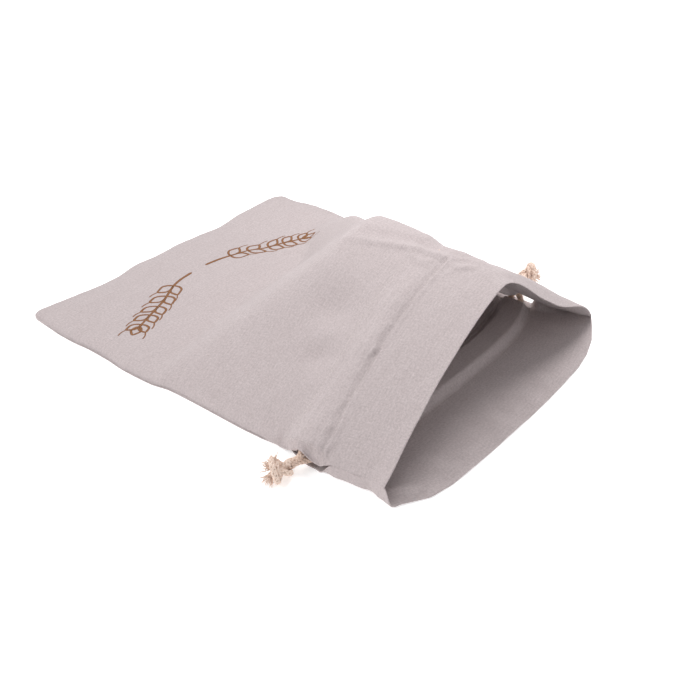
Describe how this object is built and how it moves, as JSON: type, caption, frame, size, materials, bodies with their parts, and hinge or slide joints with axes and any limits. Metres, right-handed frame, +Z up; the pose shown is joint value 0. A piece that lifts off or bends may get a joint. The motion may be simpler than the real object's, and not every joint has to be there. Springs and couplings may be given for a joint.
{
  "type": "linen bread bag",
  "caption": "Flat linen bread bag lying on its side with the mouth propped open, its channel threaded with two knotted cotton drawcords",
  "frame": {"origin": "On the table plane, under the middle of the bag's length and between its two long seams", "axes": "+X runs along the bag from its sewn closed end to its mouth, +Y across it to the side away from the near knot, +Z up"},
  "size_m": [0.4148, 0.3549, 0.0876],
  "materials": {
    "linen": "plain weave, undyed, matte",
    "under_linen": "plain weave, undyed, matte",
    "cotton_cord": "twisted cotton, matte",
    "cotton_knot": "twisted cotton with frayed ends, matte"
  },
  "bodies": {
    "root": {"front_panel": "linen", "back_panel": "under_linen", "drawcord_near": "cotton_cord", "drawcord_far": "cotton_cord", "knot_near": "cotton_knot", "knot_far": "cotton_knot"}
  },
  "joints": []
}
